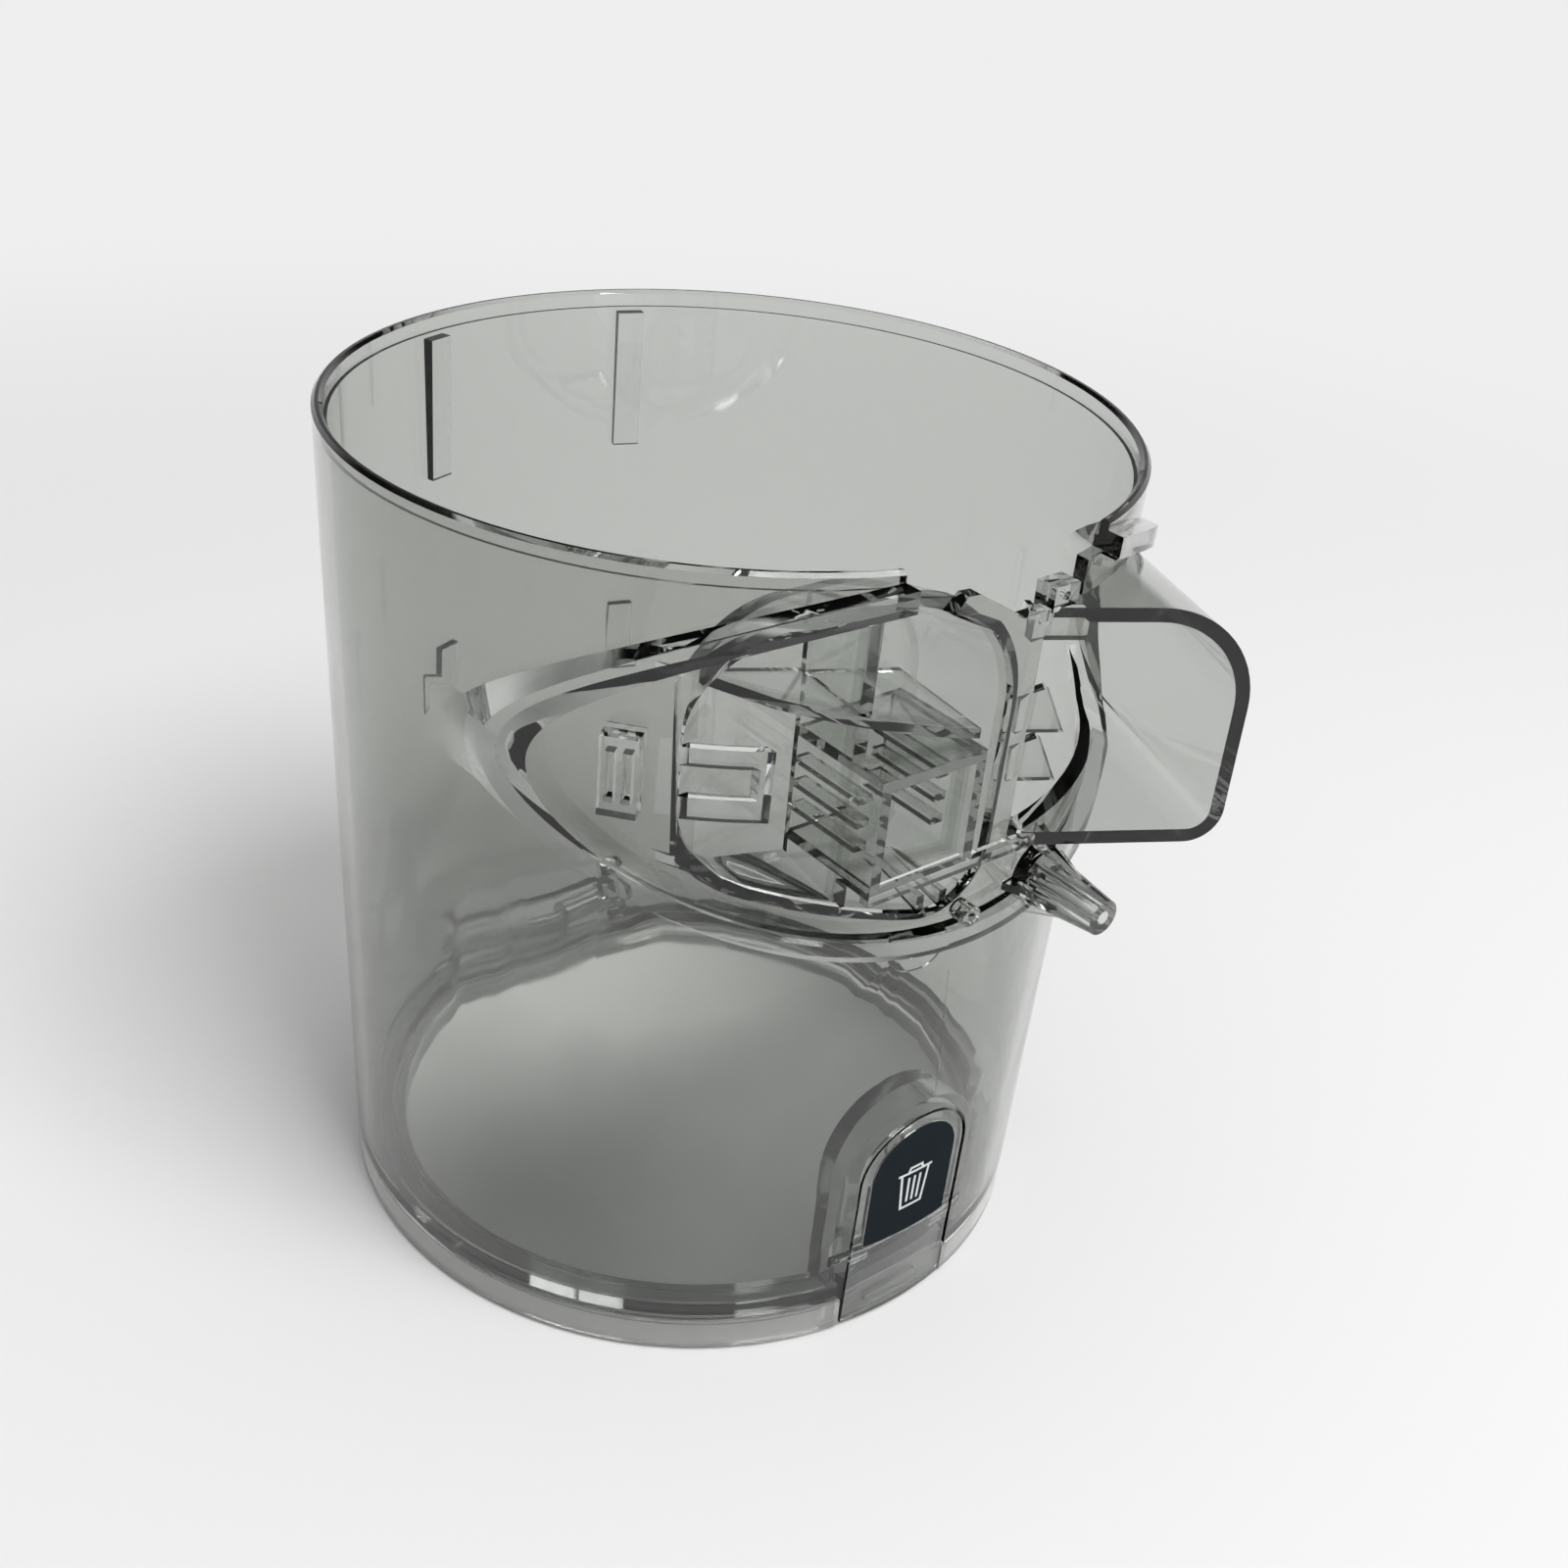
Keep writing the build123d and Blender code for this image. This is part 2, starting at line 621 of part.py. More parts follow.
pieces = {
    "bin_cup": make_cup(),
    "bottom_lid": make_lid(),
    "lid_seal": make_seal(),
    "hinge_pin": cross_rod(hinge_y, hinge_z, hinge_pin_r, hinge_half + cheek - bite / 2),
    "latch_lever": make_lever(),
    "latch_panel": make_panel(),
    "latch_pin": cross_rod(-pivot_w, pivot_z, latch_pin_r, niche_half + niche_wall - bite / 2),
    "latch_spring": make_spring(),
}

os.makedirs("parts", exist_ok=True)
for name, piece in pieces.items():
    export_step(piece, "parts/" + name + ".step")
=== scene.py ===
import math

import bmesh
import bpy
from mathutils import Matrix, Vector


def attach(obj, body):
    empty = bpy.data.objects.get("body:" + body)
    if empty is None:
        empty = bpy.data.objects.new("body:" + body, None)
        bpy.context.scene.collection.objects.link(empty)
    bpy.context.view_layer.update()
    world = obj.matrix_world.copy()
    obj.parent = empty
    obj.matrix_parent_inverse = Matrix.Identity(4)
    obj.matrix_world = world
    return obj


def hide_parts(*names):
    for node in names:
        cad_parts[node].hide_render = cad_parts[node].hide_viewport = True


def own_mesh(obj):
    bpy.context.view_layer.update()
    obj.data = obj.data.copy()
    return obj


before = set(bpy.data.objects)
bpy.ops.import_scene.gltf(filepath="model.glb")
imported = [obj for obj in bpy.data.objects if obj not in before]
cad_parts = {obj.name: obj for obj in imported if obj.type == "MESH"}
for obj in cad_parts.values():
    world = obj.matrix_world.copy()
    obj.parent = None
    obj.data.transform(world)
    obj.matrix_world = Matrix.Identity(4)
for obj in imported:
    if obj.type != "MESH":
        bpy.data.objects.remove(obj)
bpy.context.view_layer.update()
mm = 0.001
print("frame loaded:", sorted(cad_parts))


# Node helpers

def addNode(tree, kind, **values):
    node = tree.nodes.new(kind)
    for name, value in values.items():
        setattr(node, name, value)
    return node


def feed(tree, target, source):
    if isinstance(source, bpy.types.NodeSocket):
        tree.links.new(source, target)
    else:
        target.default_value = source


def mathNode(tree, operation, *sources, clamp=False):
    node = addNode(tree, "ShaderNodeMath", operation=operation, use_clamp=clamp)
    for socket, source in zip(node.inputs, sources):
        feed(tree, socket, source)
    return node.outputs[0]


def noiseNode(tree, coords, scale, detail=2.0, rough=0.5, stretch=None):
    if stretch:
        mapping = addNode(tree, "ShaderNodeMapping")
        mapping.inputs["Scale"].default_value = stretch
        feed(tree, mapping.inputs["Vector"], coords)
        coords = mapping.outputs[0]
    noise = addNode(tree, "ShaderNodeTexNoise")
    feed(tree, noise.inputs["Vector"], coords)
    feed(tree, noise.inputs["Scale"], scale)
    noise.inputs["Detail"].default_value = detail
    noise.inputs["Roughness"].default_value = rough
    return noise.outputs["Fac"]


def rangeNode(tree, value, low, high, toLow=0.0, toHigh=1.0):
    node = addNode(tree, "ShaderNodeMapRange", interpolation_type="SMOOTHSTEP")
    feed(tree, node.inputs["Value"], value)
    for name, number in (("From Min", low), ("From Max", high), ("To Min", toLow), ("To Max", toHigh)):
        feed(tree, node.inputs[name], number)
    return node.outputs["Result"]


def mixColour(tree, factor, first, second):
    node = addNode(tree, "ShaderNodeMix", data_type="RGBA")
    feed(tree, node.inputs["Factor"], factor)
    feed(tree, node.inputs["A"], first)
    feed(tree, node.inputs["B"], second)
    return node.outputs["Result"]


def bumpNode(tree, height, strength, depth):
    bump = addNode(tree, "ShaderNodeBump")
    bump.inputs["Distance"].default_value = depth * mm
    feed(tree, bump.inputs["Strength"], strength)
    feed(tree, bump.inputs["Height"], height)
    return bump.outputs[0]


def objectCoords(tree):
    return addNode(tree, "ShaderNodeTexCoord").outputs["Object"]


def splitCoords(tree, coords):
    split = addNode(tree, "ShaderNodeSeparateXYZ")
    feed(tree, split.inputs[0], coords)
    return dict(zip("xyz", split.outputs))


def vectorLength(tree, vector):
    node = addNode(tree, "ShaderNodeVectorMath", operation="LENGTH")
    feed(tree, node.inputs[0], vector)
    return node.outputs["Value"]


# Distance from the cup's axis
def axisReach(tree, place):
    flat = addNode(tree, "ShaderNodeCombineXYZ")
    feed(tree, flat.inputs[0], place["x"])
    feed(tree, flat.inputs[1], place["y"])
    return vectorLength(tree, flat.outputs[0])


def startGroup(name, inputs, outputs):
    tree = bpy.data.node_groups.new(name, "ShaderNodeTree")
    for label, value in inputs.items():
        socket = tree.interface.new_socket(label, in_out="INPUT", socket_type="NodeSocketFloat")
        socket.default_value = value
    for label, kind in outputs.items():
        tree.interface.new_socket(label, in_out="OUTPUT", socket_type="NodeSocket" + kind)
    given = tree.nodes.new("NodeGroupInput")
    result = tree.nodes.new("NodeGroupOutput")
    return tree, given.outputs, result.inputs


def placeGroup(tree, group, **values):
    node = addNode(tree, "ShaderNodeGroup", node_tree=group)
    for name, value in values.items():
        feed(tree, node.inputs[name], value)
    return node.outputs


def startMaterial(name):
    material = bpy.data.materials.new(name)
    material.use_nodes = True
    tree = material.node_tree
    return material, tree, tree.nodes["Principled BSDF"]


# Smudges, hairlines and the slow ripple of a moulded surface
mouldMarks = {
    "cloudScale": 38.0, "cloudFrom": (0.45, 0.75),
    "hairStretch": (900.0, 900.0, 60.0), "hairFrom": (0.62, 0.72),
    "rippleScale": 55.0, "rippleDepth": 0.3,
}


def makeMouldFinish():
    tree, given, result = startGroup(
        "mouldFinish", {"Roughness": 0.03, "Smudge": 0.05, "Hairline": 0.05, "Ripple": 0.1},
        {"Roughness": "Float", "Normal": "Vector"})
    marks = mouldMarks
    coords = objectCoords(tree)
    cloud = noiseNode(tree, coords, marks["cloudScale"], 4.0, 0.6)
    cloud = rangeNode(tree, cloud, *marks["cloudFrom"])
    hairs = noiseNode(tree, coords, 1.0, 2.0, 0.5, marks["hairStretch"])
    hairs = rangeNode(tree, hairs, *marks["hairFrom"])
    total = mathNode(tree, "MULTIPLY_ADD", cloud, given["Smudge"], given["Roughness"])
    hairDepth = mathNode(tree, "MULTIPLY", given["Hairline"], cloud)
    total = mathNode(tree, "MULTIPLY_ADD", hairs, hairDepth, total)
    feed(tree, result["Roughness"], total)
    ripple = noiseNode(tree, coords, marks["rippleScale"], 1.0, 0.4)
    feed(tree, result["Normal"], bumpNode(tree, ripple, given["Ripple"], marks["rippleDepth"]))
    return tree


# Sparse specks of dust, from the edge of a cell's spot to its core
speckSpot = {"edge": 0.10, "core": 0.04}


def makeDustSpecks():
    tree, given, result = startGroup("dustSpecks", {"Scale": 240.0, "Amount": 0.1}, {"Mask": "Float"})
    cells = addNode(tree, "ShaderNodeTexVoronoi", feature="F1")
    feed(tree, cells.inputs["Vector"], objectCoords(tree))
    feed(tree, cells.inputs["Scale"], given["Scale"])
    spot = rangeNode(tree, cells.outputs["Distance"], speckSpot["edge"], speckSpot["core"])
    chosen = addNode(tree, "ShaderNodeSeparateColor")
    feed(tree, chosen.inputs[0], cells.outputs["Color"])
    rare = mathNode(tree, "LESS_THAN", chosen.outputs[0], given["Amount"])
    feed(tree, result["Mask"], mathNode(tree, "MULTIPLY", spot, rare))
    return tree


cupForm = {"base": 55.0, "rim": 58.0, "top": 126.7, "leverInset": 0.15}


def wallRadius(z):
    return cupForm["base"] + (cupForm["rim"] - cupForm["base"]) * z / cupForm["top"]


# Smoky zones of the cup: its conical wall with the guide ribs, the back of the recess and the duct.
# Each zone is a centre and a half width; the cast is made thinner towards the right, painted light on that
# side and painted shade on the left
smokeZones = {
    "wallDepth": (1.05, 1.10), "skinOffset": 0.05,
    "paintedSideLight": {"x": (-50.0, 40.0), "to": 0.85},
    "arm": {"x": (-34.3, 5.0), "z": (98.1, 5.4)},
    "recessBack": {"x": (-19.0, 22.0), "y": (-41.05, 0.95), "z": (98.5, 25.0)},
    "duct": {"x": (50.0, 41.0), "z": (100.0, 17.6)},
    "guides": {"y": (20.0, 40.0), "z": (85.0, 57.0)},
}


def makeSmokeAndSideLightMask():
    tree, given, result = startGroup("smokeAndSideLightMask", {}, {"Mask": "Float"})
    place = splitCoords(tree, objectCoords(tree))

    def within(zone):
        total = None
        for axis, (centre, half) in smokeZones[zone].items():
            near = mathNode(tree, "COMPARE", place[axis], centre * mm, half * mm)
            total = mathNode(tree, "MULTIPLY", total, near) if total else near
        return total

    slope = (cupForm["rim"] - cupForm["base"]) / cupForm["top"]
    cone = mathNode(tree, "MULTIPLY_ADD", place["z"], slope, cupForm["base"] * mm)
    depth = mathNode(tree, "SUBTRACT", cone, axisReach(tree, place))
    centre, half = smokeZones["wallDepth"]
    wall = mathNode(tree, "COMPARE", depth, centre * mm, half * mm)
    wall = mathNode(tree, "MULTIPLY", wall, mathNode(tree, "SUBTRACT", 1.0, within("arm")))
    outside = mathNode(tree, "LESS_THAN", depth, -smokeZones["skinOffset"] * mm)
    duct = mathNode(tree, "MULTIPLY", outside, within("duct"))
    smoky = wall
    for part in (within("recessBack"), duct, within("guides")):
        smoky = mathNode(tree, "MAXIMUM", smoky, part)
    # painted light: the smoky cast fades from left to right, so the right side reads lighter
    left, right = (mm * x for x in smokeZones["paintedSideLight"]["x"])
    sideLightShare = rangeNode(tree, place["x"], left, right, 1.0, smokeZones["paintedSideLight"]["to"])
    feed(tree, result["Mask"], mathNode(tree, "MULTIPLY", smoky, sideLightShare))
    return tree


mouldFinish = makeMouldFinish()
dustSpecks = makeDustSpecks()
smokeAndSideLightMask = makeSmokeAndSideLightMask()

# skin: cast of a surface, smoky on the cup's walls; clear: that of its ribs and plates
# density, per metre: cast along the way through; through: what is left beside a haze
clearPlastic = {
    "ior": 1.52,
    "tint": (0.500, 0.515, 0.500, 1.0),
    "dust": (0.16, 0.16, 0.15, 1.0),
    "ripple": 0.10,
    "cup": {
        "skin": (0.640, 0.653, 0.627, 1.0), "clear": (0.90, 0.91, 0.90, 1.0), "density": 80.0,
        "through": 1.0, "roughness": 0.02, "smudge": 0.05},
    "lid": {
        "skin": (0.96, 0.97, 0.95, 1.0), "density": 15.0,
        "through": 0.86, "roughness": 0.05, "smudge": 0.06, "dustAmount": 0.02,
        "satin": {"radius": 47.0, "height": 3.0, "roughness": 0.28}},
    "lever": {
        "skin": (0.90, 0.91, 0.90, 1.0), "density": 80.0,
        "through": 1.0, "roughness": 0.05, "smudge": 0.06},
}


# Satin inside a circle round the axis and below a height, polished elsewhere
def satinMask(tree, polished, satin):
    place = splitCoords(tree, objectCoords(tree))
    inside = mathNode(tree, "LESS_THAN", axisReach(tree, place), satin["radius"] * mm)
    low = mathNode(tree, "LESS_THAN", place["z"], satin["height"] * mm)
    both = mathNode(tree, "MULTIPLY", inside, low)
    return mathNode(tree, "MULTIPLY_ADD", both, satin["roughness"] - polished, polished)


def makeClearPlastic(piece):
    material, tree, shader = startMaterial(piece + "Plastic")
    cast = clearPlastic[piece]
    roughness = cast["roughness"]
    if "satin" in cast:
        roughness = satinMask(tree, roughness, cast["satin"])
    finish = placeGroup(
        tree, mouldFinish, Roughness=roughness, Smudge=cast["smudge"], Ripple=clearPlastic["ripple"])
    skin = cast["skin"]
    if "clear" in cast:
        # the smoke mask also carries the painted side light
        skin = mixColour(tree, placeGroup(tree, smokeAndSideLightMask)["Mask"], cast["clear"], skin)
    if "dustAmount" in cast:
        specks = placeGroup(tree, dustSpecks, Amount=cast["dustAmount"])
        skin = mixColour(tree, specks["Mask"], skin, clearPlastic["dust"])
    feed(tree, shader.inputs["Base Color"], skin)
    feed(tree, shader.inputs["Roughness"], finish["Roughness"])
    feed(tree, shader.inputs["Normal"], finish["Normal"])
    shader.inputs["IOR"].default_value = clearPlastic["ior"]
    shader.inputs["Transmission Weight"].default_value = cast["through"]
    inside = addNode(tree, "ShaderNodeVolumeAbsorption")
    inside.inputs["Color"].default_value = clearPlastic["tint"]
    inside.inputs["Density"].default_value = cast["density"]
    feed(tree, tree.nodes["Material Output"].inputs["Volume"], inside.outputs[0])
    return material


inlay = {
    "dark": (0.012, 0.016, 0.019, 1.0), "light": (0.017, 0.022, 0.026, 1.0),
    "speck": (0.2, 0.2, 0.19, 1.0), "speckScale": 900.0, "speckAmount": 0.12, "speckCover": 0.3,
    "cloudScale": 120.0, "roughness": (0.46, 0.56),
    "grainScale": 2600.0, "grainStrength": 0.12, "grainDepth": 0.05,
}


def makeInlayPlastic():
    material, tree, shader = startMaterial("navyInlay")
    coords = objectCoords(tree)
    grain = noiseNode(tree, coords, inlay["grainScale"], 2.0, 0.6)
    cloud = noiseNode(tree, coords, inlay["cloudScale"], 3.0, 0.5)
    specks = placeGroup(tree, dustSpecks, Scale=inlay["speckScale"], Amount=inlay["speckAmount"])
    cover = mathNode(tree, "MULTIPLY", specks["Mask"], inlay["speckCover"])
    colour = mixColour(tree, cloud, inlay["dark"], inlay["light"])
    feed(tree, shader.inputs["Base Color"], mixColour(tree, cover, colour, inlay["speck"]))
    feed(tree, shader.inputs["Roughness"], rangeNode(tree, cloud, 0.3, 0.7, *inlay["roughness"]))
    feed(tree, shader.inputs["Normal"], bumpNode(tree, grain, inlay["grainStrength"], inlay["grainDepth"]))
    shader.inputs["Specular IOR Level"].default_value = 0.0
    return material


silicone = {
    "dark": (0.55, 0.57, 0.56, 1.0), "light": (0.64, 0.66, 0.65, 1.0),
    "speck": (0.25, 0.25, 0.24, 1.0), "speckScale": 700.0, "speckAmount": 0.2,
    "cloudScale": 160.0, "roughness": (0.42, 0.58),
}


def makeSealSilicone():
    material, tree, shader = startMaterial("sealSilicone")
    cloud = noiseNode(tree, objectCoords(tree), silicone["cloudScale"], 4.0, 0.6)
    specks = placeGroup(tree, dustSpecks, Scale=silicone["speckScale"], Amount=silicone["speckAmount"])
    colour = mixColour(tree, cloud, silicone["dark"], silicone["light"])
    feed(tree, shader.inputs["Base Color"], mixColour(tree, specks["Mask"], colour, silicone["speck"]))
    feed(tree, shader.inputs["Roughness"], rangeNode(tree, cloud, 0.3, 0.7, *silicone["roughness"]))
    return material


# Drawn wire: along is the stretch of the drawing marks
steel = {
    "pinSteel": {"colour": (0.62, 0.63, 0.64, 1.0), "along": (90.0, 2500.0, 2500.0)},
    "springSteel": {"colour": (0.55, 0.56, 0.58, 1.0), "along": (2200.0, 2200.0, 2200.0)},
    "darkShare": 0.8, "roughness": (0.18, 0.34),
}


def makeSteel(name):
    material, tree, shader = startMaterial(name)
    colour = steel[name]["colour"]
    drawn = noiseNode(tree, objectCoords(tree), 1.0, 3.0, 0.6, steel[name]["along"])
    darker = tuple(steel["darkShare"] * c for c in colour[:3]) + (1.0,)
    feed(tree, shader.inputs["Base Color"], mixColour(tree, drawn, darker, colour))
    feed(tree, shader.inputs["Roughness"], rangeNode(tree, drawn, 0.3, 0.7, *steel["roughness"]))
    shader.inputs["Metallic"].default_value = 1.0
    return material


# Frosted film on the lid's sunk floor, cut straight ahead of the hinge; its uneven cover is painted glare and
# painted shade.
# cover at the front, middle and rear bands, full at the rear and front for a painted highlight and thinner in
# the middle for a painted darker band; lean makes it denser, so lighter, towards the right, painted light on
# that side
frostAndGlare = {
    "colour": (0.96, 0.97, 0.955, 1.0), "roughness": 0.6, "specular": 0.1,
    "bands": (-40.0, 4.0, 34.0), "cover": (1.0, 0.70, 1.0),
    "paintedLightLean": {"x": (-34.0, 30.0), "from": 0.85, "to": 1.30},
    "cloudScale": 22.0, "cloudCover": (0.9, 1.1),
    "radius": 47.25, "chord": 43.6, "z": 2.03, "segments": 128,
}


def makeFrostAndGlare():
    material, tree, shader = startMaterial("panFrostAndGlare")
    coords = objectCoords(tree)
    place = splitCoords(tree, coords)
    front, middle, rear = (mm * y for y in frostAndGlare["bands"])
    # painted highlight and shade: the cover is full in the rear and front bands and thinner in the middle
    # band
    cover = rangeNode(tree, place["y"], front, middle, *frostAndGlare["cover"][:2])
    cover = rangeNode(tree, place["y"], middle, rear, cover, frostAndGlare["cover"][2])
    # painted light: the film is denser, so lighter, towards the right
    left, right = (mm * x for x in frostAndGlare["paintedLightLean"]["x"])
    paintedLightLean = rangeNode(tree, place["x"], left, right, frostAndGlare["paintedLightLean"]["from"], frostAndGlare["paintedLightLean"]["to"])
    cover = mathNode(tree, "MULTIPLY", cover, paintedLightLean)
    cloud = noiseNode(tree, coords, frostAndGlare["cloudScale"], 2.0, 0.5)
    cloud = rangeNode(tree, cloud, 0.3, 0.7, *frostAndGlare["cloudCover"])
    feed(tree, shader.inputs["Alpha"], mathNode(tree, "MULTIPLY", cover, cloud, clamp=True))
    shader.inputs["Base Color"].default_value = frostAndGlare["colour"]
    shader.inputs["Roughness"].default_value = frostAndGlare["roughness"]
    shader.inputs["Specular IOR Level"].default_value = frostAndGlare["specular"]
    return material


# Mould seam down the front wall: x and z of its ends, half width, height and clearance
seam = {
    "top": (-1.0, 64.6), "foot": (1.0, 42.3), "half": 0.10, "proud": 0.05, "gap": 0.02, "steps": 12,
    "colour": (0.22, 0.23, 0.21, 1.0), "roughness": 0.3, "breakScale": 260.0, "cover": (0.25, 0.60),
}


def makeSeamLine():
    material, tree, shader = startMaterial("seamLine")
    broken = noiseNode(tree, objectCoords(tree), seam["breakScale"], 2.0, 0.5)
    feed(tree, shader.inputs["Alpha"], rangeNode(tree, broken, 0.3, 0.7, *seam["cover"]))
    shader.inputs["Base Color"].default_value = seam["colour"]
    shader.inputs["Roughness"].default_value = seam["roughness"]
    return material


# Outlined bin symbol printed on the inlay
symbol = {
    "halfTop": 2.65, "halfFoot": 2.0, "foot": 20.7, "top": 27.4, "lidHalf": 3.1, "stroke": 0.42,
    "bars": (-1.0, 0.0, 1.0), "barFoot": 21.9, "barTop": 26.2, "barSplay": 1.1,
    "gripHalf": (1.45, 1.1), "gripTop": 28.3, "thick": 0.03, "proud": 0.01,
    "worn": (0.50, 0.52, 0.52, 1.0), "fresh": (0.66, 0.68, 0.68, 1.0), "wearScale": 1500.0, "roughness": 0.5,
}


def makePrint():
    material, tree, shader = startMaterial("symbolPrint")
    wear = noiseNode(tree, objectCoords(tree), symbol["wearScale"], 3.0, 0.6)
    feed(tree, shader.inputs["Base Color"], mixColour(tree, wear, symbol["worn"], symbol["fresh"]))
    shader.inputs["Roughness"].default_value = symbol["roughness"]
    return material


cupPlastic = makeClearPlastic("cup")
lidPlastic = makeClearPlastic("lid")
leverPlastic = makeClearPlastic("lever")
navyInlay = makeInlayPlastic()
sealSilicone = makeSealSilicone()
pinSteel = makeSteel("pinSteel")
springSteel = makeSteel("springSteel")
symbolPrint = makePrint()
panFrostAndGlare = makeFrostAndGlare()
seamLine = makeSeamLine()
print("materials made:", len(bpy.data.materials))


def addPiece(name, bm, material, body):
    mesh = bpy.data.meshes.new(name)
    bm.to_mesh(mesh)
    bm.free()
    mesh.materials.clear()
    mesh.materials.append(material)
    piece = bpy.data.objects.new(name, mesh)
    bpy.context.scene.collection.objects.link(piece)
    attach(piece, body)
    return piece


def thicken(piece, name, thickness):
    thick = piece.modifiers.new(name, "SOLIDIFY")
    thick.thickness = thickness * mm
    thick.offset = 1.0


# Pieces that stand for the frame's nodes: merged, smooth, with broken edges
merging = {"weld": 0.002, "sliver": 0.001, "flat": 0.4, "crease": 28.0}
standIns = {
    "bin_cup": {
        "name": "cup_shell", "body": "cup", "slot": "clear_plastic", "edge": 0.15, "finish": cupPlastic},
    "bottom_lid": {
        "name": "lid_pan", "body": "lid", "slot": "clear_plastic", "edge": 0.15, "finish": lidPlastic},
    "lid_seal": {
        "name": "seal_ring", "body": "lid", "slot": "seal_silicone", "edge": 0.20, "finish": sealSilicone},
    "hinge_pin": {
        "name": "hinge_rod", "body": "cup", "slot": "pin_steel", "edge": 0.20, "finish": pinSteel},
    "latch_lever": {
        "name": "lever_body", "body": "latch", "slot": "clear_plastic", "edge": 0.12, "finish": leverPlastic},
    "latch_panel": {
        "name": "lever_inlay", "body": "latch", "slot": "panel_plastic", "edge": 0.12, "finish": navyInlay},
    "latch_pin": {
        "name": "lever_rod", "body": "cup", "slot": "pin_steel", "edge": 0.20, "finish": pinSteel},
    "latch_spring": {
        "name": "spring_coil", "body": "cup", "slot": "spring_steel", "edge": 0.0, "finish": springSteel},
}


def mergedMesh(node):
    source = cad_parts[node].data.copy()
    if source.has_custom_normals:
        source.attributes.remove(source.attributes["custom_normal"])
    bm = bmesh.new()
    bm.from_mesh(source)
    bmesh.ops.remove_doubles(bm, verts=bm.verts, dist=merging["weld"] * mm)
    bmesh.ops.dissolve_degenerate(bm, dist=merging["sliver"] * mm, edges=bm.edges)
    bmesh.ops.dissolve_limit(
        bm, angle_limit=math.radians(merging["flat"]), verts=bm.verts, edges=bm.edges,
        use_dissolve_boundaries=False)
    for face in bm.faces:
        face.smooth = True
        face.material_index = 0
    crease = math.radians(merging["crease"])
    for edge in bm.edges:
        edge.smooth = len(edge.link_faces) == 2 and edge.calc_face_angle(0.0) < crease
    bpy.data.meshes.remove(source)
    return bm


made = {}
for node, facts in standIns.items():
    name = facts["name"]
    piece = addPiece(name, mergedMesh(node), facts["finish"], facts["body"])
    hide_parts(node)
    if facts["edge"]:
        bevel = piece.modifiers.new("brokenEdges", "BEVEL")
        bevel.width = facts["edge"] * mm
        bevel.segments = 2
        bevel.limit_method = "ANGLE"
        bevel.angle_limit = math.radians(merging["crease"])
        bevel.harden_normals = True
    made[name] = piece
    print("piece", name, len(piece.data.polygons), "faces")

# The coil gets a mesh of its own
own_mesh(made["spring_coil"])


def strokeQuad(bm, start, end, width):
    a, b = Vector((start[0], 0, start[1])), Vector((end[0], 0, end[1]))
    run = (b - a).normalized()
    side = Vector((-run.z, 0, run.x)) * width / 2
    a -= run * width / 2
    b += run * width / 2
    corners = [bm.verts.new(p) for p in (a - side, b - side, b + side, a + side)]
    bm.faces.new(corners)


def makeSymbol():
    s = symbol
    bm = bmesh.new()
    strokes = [
        ((-s["lidHalf"], s["top"]), (s["lidHalf"], s["top"])),
        ((-s["halfTop"], s["top"]), (-s["halfFoot"], s["foot"])),
        ((s["halfTop"], s["top"]), (s["halfFoot"], s["foot"])),
        ((-s["halfFoot"], s["foot"]), (s["halfFoot"], s["foot"])),
        ((-s["gripHalf"][0], s["top"]), (-s["gripHalf"][1], s["gripTop"])),
        ((s["gripHalf"][0], s["top"]), (s["gripHalf"][1], s["gripTop"])),
        ((-s["gripHalf"][1], s["gripTop"]), (s["gripHalf"][1], s["gripTop"])),
    ]
    strokes += [((x, s["barFoot"]), (x * s["barSplay"], s["barTop"])) for x in s["bars"]]
    for start, end in strokes:
        strokeQuad(bm, start, end, s["stroke"])
    bmesh.ops.subdivide_edges(bm, edges=bm.edges, cuts=3, use_grid_fill=True)
    for vert in bm.verts:
        x, z = vert.co.x, vert.co.z
        reach = wallRadius(z) - cupForm["leverInset"]
        vert.co.y = -math.sqrt(reach ** 2 - x ** 2) - s["proud"]
    bmesh.ops.recalc_face_normals(bm, faces=bm.faces)
    bmesh.ops.scale(bm, vec=(mm, mm, mm), verts=bm.verts)
    for face in bm.faces:
        if face.normal.y > 0:
            face.normal_flip()
    thicken(addPiece("bin_symbol", bm, symbolPrint, "latch"), "inkFilm", s["thick"])


# Film on the lid floor whose cover paints glare and shade over a frosting
def makeFrostAndGlareFilm():
    bm = bmesh.new()
    bmesh.ops.create_circle(
        bm, cap_ends=True, radius=frostAndGlare["radius"] * mm, segments=frostAndGlare["segments"])
    bmesh.ops.bisect_plane(
        bm, geom=bm.verts[:] + bm.edges[:] + bm.faces[:], plane_co=(0, frostAndGlare["chord"] * mm, 0),
        plane_no=(0, 1, 0), clear_outer=True)
    bmesh.ops.translate(bm, vec=(0, 0, frostAndGlare["z"] * mm), verts=bm.verts)
    addPiece("pan_frost_and_glare", bm, panFrostAndGlare, "lid")


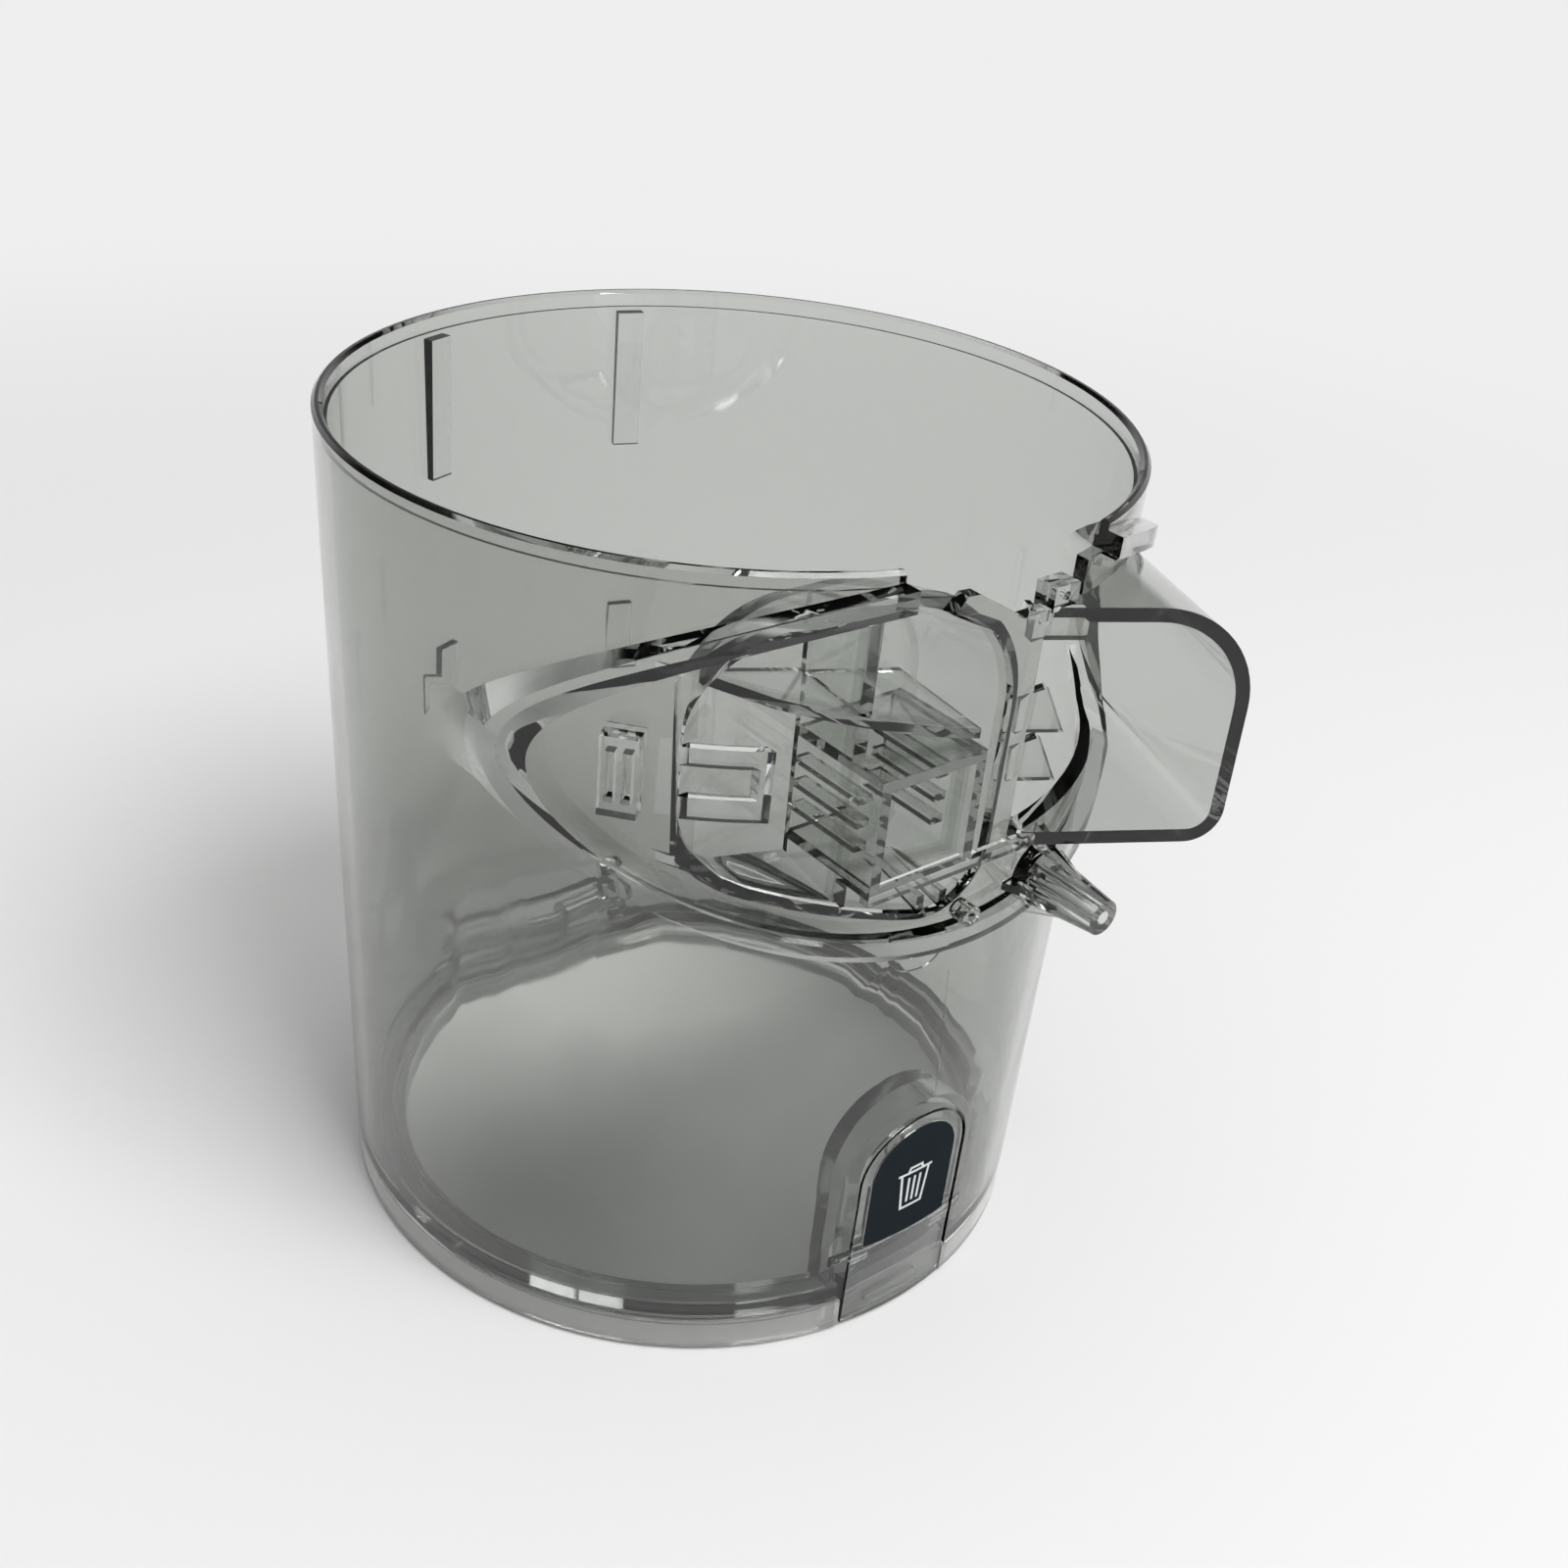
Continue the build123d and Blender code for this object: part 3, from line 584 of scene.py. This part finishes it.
def makeSeam():
    bm = bmesh.new()
    bmesh.ops.create_grid(bm, x_segments=1, y_segments=seam["steps"], size=1.0)
    for vert in bm.verts:
        share = (1.0 - vert.co.y) / 2
        x, z = (a + (b - a) * share for a, b in zip(seam["top"], seam["foot"]))
        x += vert.co.x * seam["half"]
        vert.co = (x, -math.sqrt((wallRadius(z) + seam["gap"]) ** 2 - x ** 2), z)
    bmesh.ops.scale(bm, vec=(mm, mm, mm), verts=bm.verts)
    bm.normal_update()
    bmesh.ops.reverse_faces(bm, faces=[face for face in bm.faces if face.normal.y > 0])
    thicken(addPiece("mould_seam", bm, seamLine, "cup"), "ridge", seam["proud"])


makeSymbol()
print("symbol printed")
makeFrostAndGlareFilm()
print("lid frosted")
makeSeam()
print("seam laid")


# Studio: pale floor that goes over into the plain backdrop between the fade distances,
# a surround that darkens overhead by the height of the direction, and one soft box in front
studio = {
    "floor": (0.70, 0.70, 0.70, 1.0), "floorHalf": 8.0, "floorDrop": 0.3, "floorRoughness": 0.9,
    "fade": (0.20, 0.60),
    "backdrop": 0.86, "surround": 0.60,
    "ceiling": {"from": 0.22, "to": 0.42, "level": 0.05},
    "box": {"place": (0.06, -0.82, 1.31), "aim": (0.0, 0.0, 0.05), "size": 0.75, "power": 21.0},
}


# Rays that show the pale backdrop: straight, mirrored and through glass
def seenRays(tree):
    path = addNode(tree, "ShaderNodeLightPath")
    seen = mathNode(tree, "MAXIMUM", path.outputs["Is Camera Ray"], path.outputs["Is Glossy Ray"])
    return mathNode(tree, "MAXIMUM", seen, path.outputs["Is Transmission Ray"])


def makeFloor():
    bm = bmesh.new()
    bmesh.ops.create_grid(bm, x_segments=1, y_segments=1, size=studio["floorHalf"])
    bmesh.ops.translate(bm, vec=(0, 0, -studio["floorDrop"] * mm), verts=bm.verts)
    mesh = bpy.data.meshes.new("studio_floor")
    bm.to_mesh(mesh)
    bm.free()
    floor = bpy.data.objects.new("studio_floor", mesh)
    bpy.context.scene.collection.objects.link(floor)
    material, tree, shader = startMaterial("paleFloor")
    shader.inputs["Base Color"].default_value = studio["floor"]
    shader.inputs["Roughness"].default_value = studio["floorRoughness"]
    shader.inputs["Specular IOR Level"].default_value = 0.0
    far = rangeNode(tree, vectorLength(tree, objectCoords(tree)), *studio["fade"])
    plain = addNode(tree, "ShaderNodeEmission")
    plain.inputs["Strength"].default_value = studio["backdrop"]
    mix = addNode(tree, "ShaderNodeMixShader")
    feed(tree, mix.inputs[0], mathNode(tree, "MULTIPLY", far, seenRays(tree)))
    feed(tree, mix.inputs[1], shader.outputs[0])
    feed(tree, mix.inputs[2], plain.outputs[0])
    feed(tree, tree.nodes["Material Output"].inputs["Surface"], mix.outputs[0])
    mesh.materials.append(material)


def makeSurround():
    world = bpy.data.worlds.new("studio")
    world.use_nodes = True
    tree = world.node_tree
    back = tree.nodes["Background"]
    back.inputs["Color"].default_value = (1.0, 1.0, 1.0, 1.0)
    ceiling = studio["ceiling"]
    direction = splitCoords(tree, addNode(tree, "ShaderNodeTexCoord").outputs["Generated"])
    shown = rangeNode(
        tree, direction["z"], ceiling["from"], ceiling["to"], studio["backdrop"], ceiling["level"])
    strength = rangeNode(tree, seenRays(tree), 0.0, 1.0, studio["surround"], shown)
    feed(tree, back.inputs["Strength"], strength)
    bpy.context.scene.world = world


def makeSoftBox():
    facts = studio["box"]
    lamp = bpy.data.lights.new("frontBox", "AREA")
    lamp.size = facts["size"]
    lamp.energy = facts["power"]
    box = bpy.data.objects.new("frontBox", lamp)
    bpy.context.scene.collection.objects.link(box)
    box.location = facts["place"]
    aim = Vector(facts["aim"]) - Vector(facts["place"])
    box.rotation_euler = aim.to_track_quat("-Z", "Y").to_euler()


cameraFit = {
    "place": (-158.7, -197.2, 211.6),
    "right": (0.7780, -0.6224, 0.0860),
    "up": (0.2539, 0.4366, 0.8632),
    "forward": (0.5748, 0.6497, -0.4976),
    "lens": 42.88, "sensor": 36.0, "clip": (0.01, 50.0),
}


def makeCamera():
    data = bpy.data.cameras.new("photoCamera")
    data.sensor_width = cameraFit["sensor"]
    data.lens = cameraFit["lens"]
    data.clip_start, data.clip_end = cameraFit["clip"]
    camera = bpy.data.objects.new("photoCamera", data)
    bpy.context.scene.collection.objects.link(camera)
    right, up, forward = [Vector(cameraFit[k]) for k in ("right", "up", "forward")]
    turn = Matrix((right, up, -forward)).transposed().to_4x4()
    camera.matrix_world = Matrix.Translation(Vector(cameraFit["place"]) * mm) @ turn
    bpy.context.scene.camera = camera


makeFloor()
makeSurround()
makeSoftBox()
makeCamera()
scene = bpy.context.scene
scene.view_settings.view_transform = "Standard"
scene.cycles.max_bounces = 32
scene.cycles.transmission_bounces = 32
scene.cycles.glossy_bounces = 8
print("studio set")
